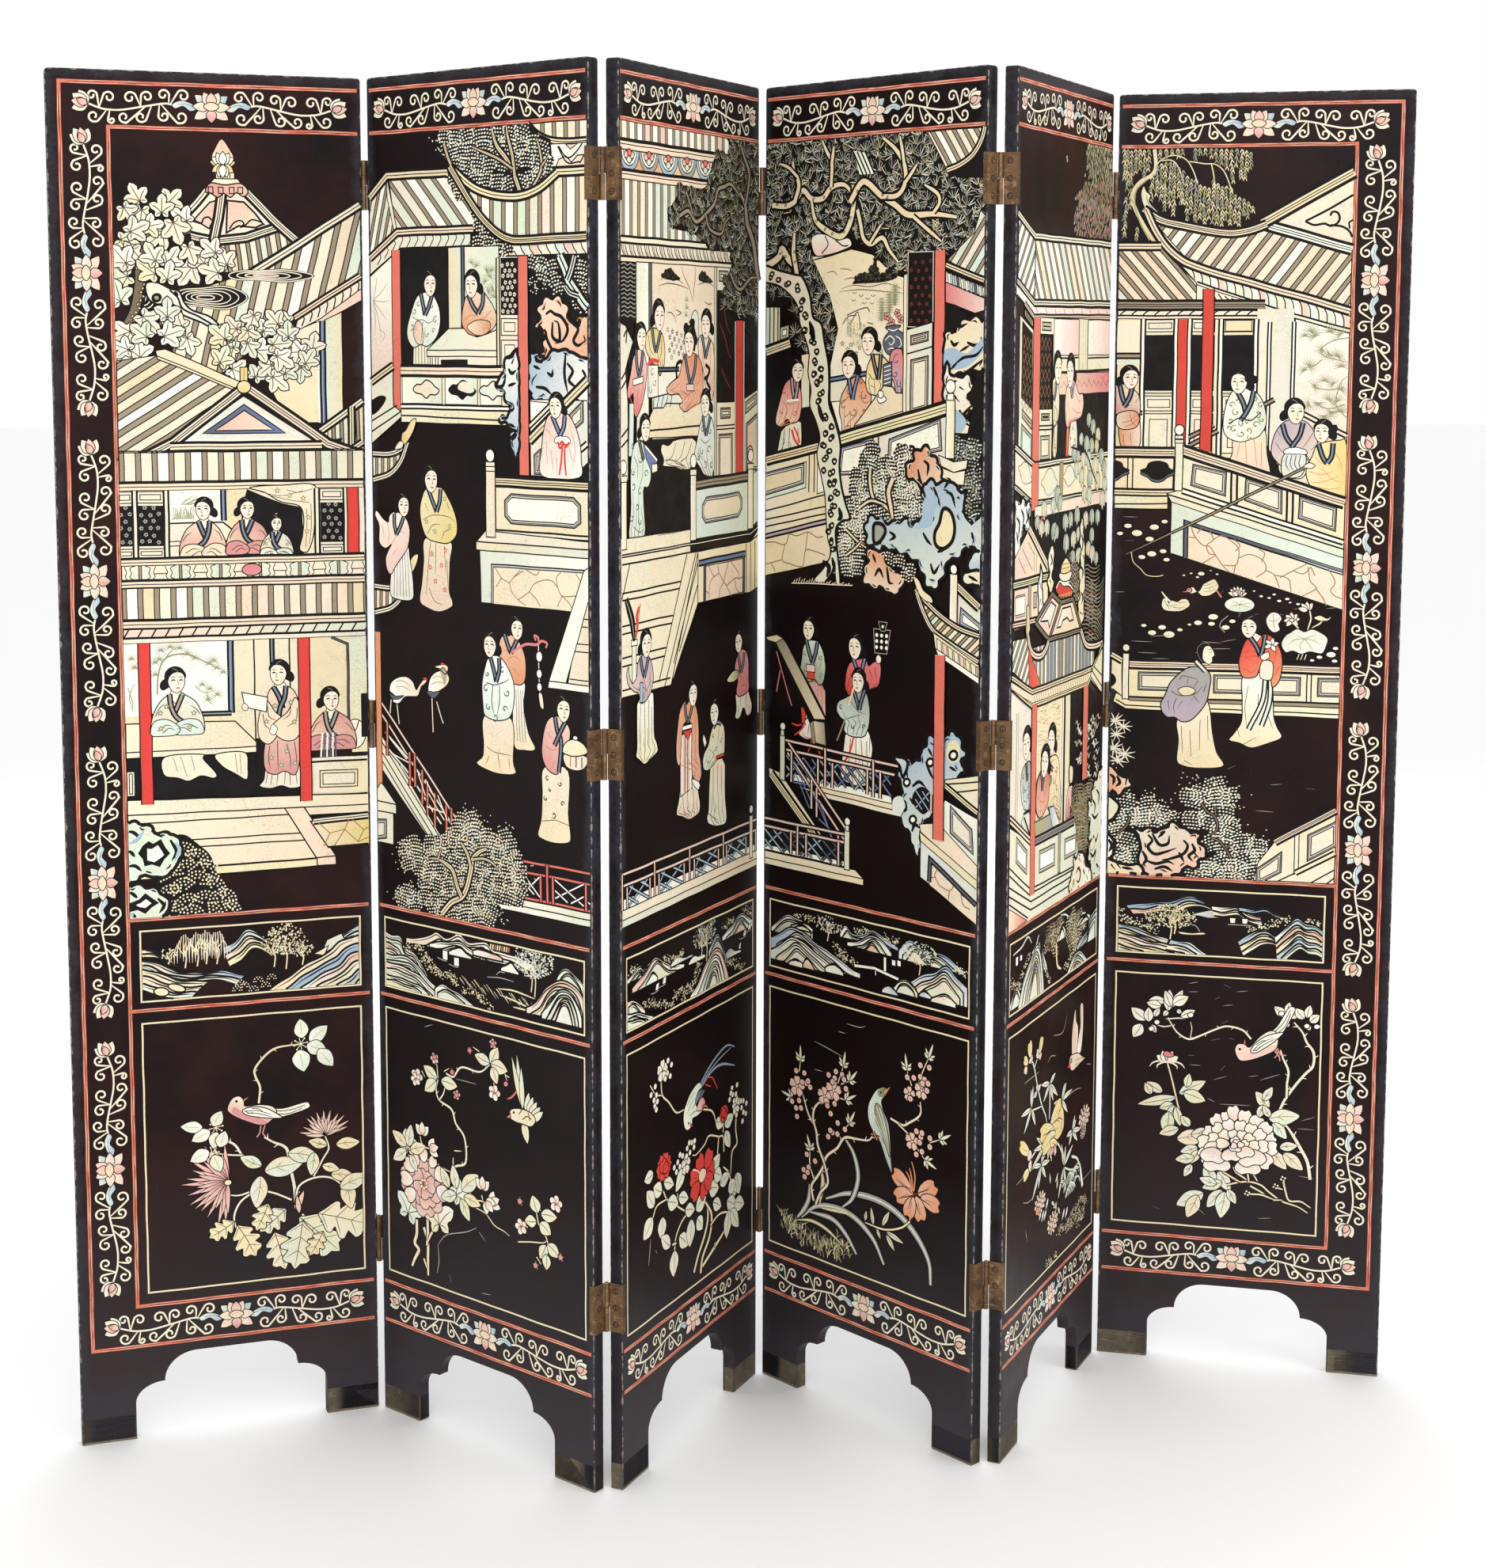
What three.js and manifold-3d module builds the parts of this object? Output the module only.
// Six-panel folding lacquer screen with brass lift-off hinges and brass foot shoes.
// Millimetres, +Z up. The decorated fronts face -Y. The origin is on the floor, under the
// middle of the screen's bounding box, with the screen standing in its zigzag.
import * as THREE from 'three';
import { mergeVertices } from 'three/addons/utils/BufferGeometryUtils.js';
import Module from 'manifold-3d';

const wasm = await Module();
wasm.setup();

// Panel boards
const panelWidth = 402;
const panelHeight = 1830;
const panelThickness = 18;
const edgeRounding = 1.6;
const topCornerRadius = 5;

// Bracket feet: the opening between them has two lobes a side under a flat top
const footWidth = 72;
const footStraight = 50;
const lowerLobeWidth = 39;
const lowerLobeHeight = 27;
const upperLobeWidth = 43;
const upperLobeHeight = 38;

// Brass shoes, let in flush round the feet
const shoeHeight = 35;
const shoeWall = 1.2;
const shoeCornerRadius = 1.5;

// Hinges: an L-shaped leaf on each panel edge, a fixed pin below and a socket above
const lowestHingeRise = 245; // from the floor to the lowest hinge's middle
const highestHingeDrop = 140; // from the panel's top to the highest hinge's middle
const leafHeight = 65;
const leafThickness = 1.2;
const leafFlange = 6;
const pinRadius = 1.6;
const knuckleRadius = 3.5;
const knuckleGap = 0.6;
const pinToEdge = 2.9;
const pinToFace = 3.5;

// Hinge screws
const screwOffsets = [-22, 0, 22];
const screwHeadRadius = 3;
const screwHeadHeight = 0.5;
const screwRadius = 1.5;
const screwLength = 12;

// Clearances
const seatClearance = 0.3;
const boreClearance = 0.4;
const pinTopClearance = 2;

// How the screen stands: the first panel's heading and the turn at each joint.
// Joints 1, 3 and 5 close the fronts together, joints 2 and 4 the backs.
const firstHeading = 10.3;
const foldAngles = [58, 104, 111, 111, 77];

const lacquer = new THREE.MeshStandardMaterial({ color: 0x0d0a0b, roughness: 0.28, metalness: 0 });
const hingeBrass = new THREE.MeshStandardMaterial({ color: 0x9a6a35, roughness: 0.45, metalness: 1 });
const shoeBrass = new THREE.MeshStandardMaterial({ color: 0x5a4a34, roughness: 0.55, metalness: 1 });

const radians = THREE.MathUtils.degToRad;
const highestHinge = panelHeight - highestHingeDrop;
const hingeHeights = [lowestHingeRise, (lowestHingeRise + highestHinge) / 2, highestHinge];
const overrun = 1; // how far a cutter runs past the face it opens

// Facets
const curveSteps = 3;
const cornerSteps = 1;
const screwSides = 6;
const pinSides = 8;
const knuckleSides = 12;

function toSolid(geometry) {
  const loose = geometry.index ? geometry.toNonIndexed() : geometry;
  const bare = new THREE.BufferGeometry().setAttribute('position', loose.getAttribute('position'));
  const merged = mergeVertices(bare, 1e-4);
  return new wasm.Manifold(new wasm.Mesh({
    numProp: 3,
    vertProperties: merged.attributes.position.array,
    triVerts: new Uint32Array(merged.index.array),
  }));
}

function toGeometry(solid) {
  const { vertProperties, triVerts } = solid.getMesh();
  const geometry = new THREE.BufferGeometry();
  geometry.setAttribute('position', new THREE.BufferAttribute(vertProperties, 3));
  geometry.setIndex(new THREE.BufferAttribute(triVerts, 1));
  geometry.computeVertexNormals();
  return geometry;
}

// A box solid between two corners.
function box(low, high) {
  const size = high.map((value, k) => value - low[k]);
  const centre = high.map((value, k) => (value + low[k]) / 2);
  return toSolid(new THREE.BoxGeometry(...size).translate(...centre));
}

// A round bar along Z (upright) or along X (lying).
function bar(radius, from, to, sides, lying = false) {
  const geometry = new THREE.CylinderGeometry(radius, radius, to - from, sides);
  geometry.translate(0, (from + to) / 2, 0);
  return toSolid(lying ? geometry.rotateZ(-Math.PI / 2) : geometry.rotateX(Math.PI / 2));
}

// The panel's front outline in (x, z), with the feet standing on z = shoeWall + seatClearance.
function panelOutline() {
  const footBottom = shoeWall + seatClearance;
  const cuspX = footWidth + lowerLobeWidth;
  const cuspZ = footStraight + lowerLobeHeight;
  const topX = cuspX + upperLobeWidth;
  const topZ = cuspZ + upperLobeHeight;
  const r = topCornerRadius;
  const right = panelWidth;
  const quarter = Math.PI / 2;

  const outline = new THREE.Shape();
  outline.moveTo(0, footBottom);
  outline.lineTo(footWidth, footBottom);
  outline.lineTo(footWidth, footStraight);
  outline.absellipse(cuspX, footStraight, lowerLobeWidth, lowerLobeHeight, 2 * quarter, quarter, true);
  outline.absellipse(topX, cuspZ, upperLobeWidth, upperLobeHeight, 2 * quarter, quarter, true);
  outline.lineTo(right - topX, topZ);
  outline.absellipse(right - topX, cuspZ, upperLobeWidth, upperLobeHeight, quarter, 0, true);
  outline.absellipse(right - cuspX, footStraight, lowerLobeWidth, lowerLobeHeight, quarter, 0, true);
  outline.lineTo(right - footWidth, footBottom);
  outline.lineTo(right, footBottom);
  outline.lineTo(right, panelHeight - r);
  outline.absarc(right - r, panelHeight - r, r, 0, quarter, false);
  outline.lineTo(r, panelHeight);
  outline.absarc(r, panelHeight - r, r, quarter, 2 * quarter, false);
  return outline;
}

// One lacquered board, with rounded edges, rebated feet and a pilot hole for every hinge screw.
function panelGeometry(hasLeftHinges, hasRightHinges) {
  const board = new THREE.ExtrudeGeometry(panelOutline(), {
    depth: panelThickness - 2 * edgeRounding,
    bevelThickness: edgeRounding,
    bevelSize: edgeRounding,
    bevelOffset: -edgeRounding,
    bevelSegments: 1,
    curveSegments: curveSteps,
  });
  board.translate(0, 0, edgeRounding - panelThickness).rotateX(Math.PI / 2);
  let solid = toSolid(board);

  const inset = shoeWall + seatClearance;
  for (const left of [0, panelWidth - footWidth]) {
    const around = box(
      [left - overrun, -overrun, -overrun],
      [left + footWidth + overrun, panelThickness + overrun, shoeHeight + seatClearance],
    );
    const core = box(
      [left + inset, inset, -2 * overrun],
      [left + footWidth - inset, panelThickness - inset, shoeHeight + 2 * overrun],
    );
    solid = solid.subtract(around.subtract(core));
  }

  const reach = screwLength + seatClearance;
  const pilot = screwRadius + seatClearance;
  for (const height of hingeHeights) {
    for (const offset of screwOffsets) {
      const place = [0, panelThickness / 2, height + offset];
      if (hasLeftHinges) {
        solid = solid.subtract(bar(pilot, -overrun, reach, screwSides, true).translate(place));
      }
      if (hasRightHinges) {
        const hole = bar(pilot, panelWidth - reach, panelWidth + overrun, screwSides, true);
        solid = solid.subtract(hole.translate(place));
      }
    }
  }
  return toGeometry(solid);
}

// A sheet-brass cap with an open top, in the foot's own frame: x 0 to footWidth, y 0 to panelThickness.
function shoeGeometry() {
  const r = shoeCornerRadius;
  const outline = new THREE.Shape();
  outline.absarc(r, r, r, Math.PI, 1.5 * Math.PI, false);
  outline.absarc(footWidth - r, r, r, 1.5 * Math.PI, 2 * Math.PI, false);
  outline.absarc(footWidth - r, panelThickness - r, r, 0, 0.5 * Math.PI, false);
  outline.absarc(r, panelThickness - r, r, 0.5 * Math.PI, Math.PI, false);
  const cap = new THREE.ExtrudeGeometry(outline, { depth: shoeHeight, bevelEnabled: false, curveSegments: cornerSteps });
  const cavity = box(
    [shoeWall, shoeWall, shoeWall],
    [footWidth - shoeWall, panelThickness - shoeWall, shoeHeight + overrun],
  );
  return toGeometry(toSolid(cap).subtract(cavity));
}

// One hinge leaf with its screws, in the pin's frame: the pin is the Z axis and z = 0 the hinge's
// middle. towardWood is -1 or +1 along X, throughPanel is +1 when the pin stands in front of the
// panel and -1 when it stands behind. The pintle leaf holds the pin, the socket leaf is bored.
function leafGeometry(towardWood, throughPanel, isPintle) {
  const inner = pinToEdge - seatClearance - leafThickness;
  const outer = pinToEdge - seatClearance;
  const near = pinToFace + seatClearance;
  const far = pinToFace + panelThickness + seatClearance;
  const half = leafHeight / 2;
  const section = [
    [inner, near],
    [inner, far + leafThickness],
    [outer + leafFlange, far + leafThickness],
    [outer + leafFlange, far],
    [outer, far],
    [outer, near],
  ];
  const shape = new THREE.Shape(section.map(([x, y]) => new THREE.Vector2(x * towardWood, y * throughPanel)));
  const plate = new THREE.ExtrudeGeometry(shape, { depth: leafHeight, bevelEnabled: false });
  let leaf = toSolid(plate.translate(0, 0, -half));

  const [bottom, top] = isPintle ? [-half, -knuckleGap / 2] : [knuckleGap / 2, half];
  const webX = [inner * towardWood, outer * towardWood].sort((a, b) => a - b);
  const webY = [0, (near + leafThickness) * throughPanel].sort((a, b) => a - b);
  leaf = leaf.add(box([webX[0], webY[0], bottom], [webX[1], webY[1], top]));
  leaf = leaf.add(bar(knuckleRadius, bottom, top, knuckleSides));
  if (isPintle) {
    leaf = leaf.add(bar(pinRadius, bottom, half - pinTopClearance, pinSides));
  } else {
    leaf = leaf.subtract(bar(pinRadius + boreClearance, bottom - overrun, top + overrun, pinSides));
  }

  const middle = throughPanel * (pinToFace + panelThickness / 2);
  for (const offset of screwOffsets) {
    const place = [0, middle, offset];
    const head = bar(screwHeadRadius, inner - screwHeadHeight, inner + leafThickness / 2, screwSides, true);
    const shank = bar(screwRadius, inner, pinToEdge + screwLength, screwSides, true);
    const screw = head.add(shank).scale([towardWood, 1, 1]);
    leaf = leaf.add(screw.translate(place));
  }
  return toGeometry(leaf);
}

function named(name, geometry, material, x = 0, y = 0, z = 0) {
  const mesh = new THREE.Mesh(geometry, material);
  mesh.name = name;
  mesh.position.set(x, y, z);
  return mesh;
}

const isValley = (joint) => joint % 2 === 0; // a joint whose pin stands in front and whose fronts close together
const pinY = (joint) => (isValley(joint) ? -pinToFace : panelThickness + pinToFace);
const levels = ['lower', 'middle', 'upper'];

// Each panel's group has its origin at the panel's lower left front corner. The next panel's group
// hangs from a turning group on the pin line between them.
const screen = new THREE.Group();
let holder = screen;
foldAngles.forEach((_, joint) => addPanel(joint));
addPanel(foldAngles.length);

function addPanel(index) {
  const label = `panel_${index + 1}`;
  const panel = new THREE.Group();
  const hasLeft = index > 0;
  const hasRight = index < foldAngles.length;
  const left = hasLeft ? index - 1 : 0;

  if (hasLeft) {
    panel.position.set(pinToEdge, -pinY(left), 0);
  } else {
    panel.rotation.z = radians(firstHeading);
  }
  holder.add(panel);
  panel.add(named(label, panelGeometry(hasLeft, hasRight), lacquer));
  panel.add(named(`${label}_left_shoe`, shoeGeometry(), shoeBrass));
  panel.add(named(`${label}_right_shoe`, shoeGeometry(), shoeBrass, panelWidth - footWidth));

  hingeHeights.forEach((height, level) => {
    if (hasLeft) {
      const socket = leafGeometry(1, isValley(left) ? 1 : -1, false);
      panel.add(named(`${label}_${levels[level]}_socket_leaf`, socket, hingeBrass, -pinToEdge, pinY(left), height));
    }
    if (hasRight) {
      const pintle = leafGeometry(-1, isValley(index) ? 1 : -1, true);
      const x = panelWidth + pinToEdge;
      panel.add(named(`${label}_${levels[level]}_pintle_leaf`, pintle, hingeBrass, x, pinY(index), height));
    }
  });

  if (hasRight) {
    const pin = new THREE.Group();
    pin.name = `hinge_line_${index + 1}`;
    pin.position.set(panelWidth + pinToEdge, pinY(index), 0);
    pin.rotation.z = radians(foldAngles[index]) * (isValley(index) ? -1 : 1);
    panel.add(pin);
    holder = pin;
  }
}

// Stand the screen over the origin.
screen.updateMatrixWorld(true);
const bounds = new THREE.Box3().setFromObject(screen, true);
const centre = bounds.getCenter(new THREE.Vector3());
screen.position.set(-centre.x, -centre.y, -bounds.min.z);

export default screen;
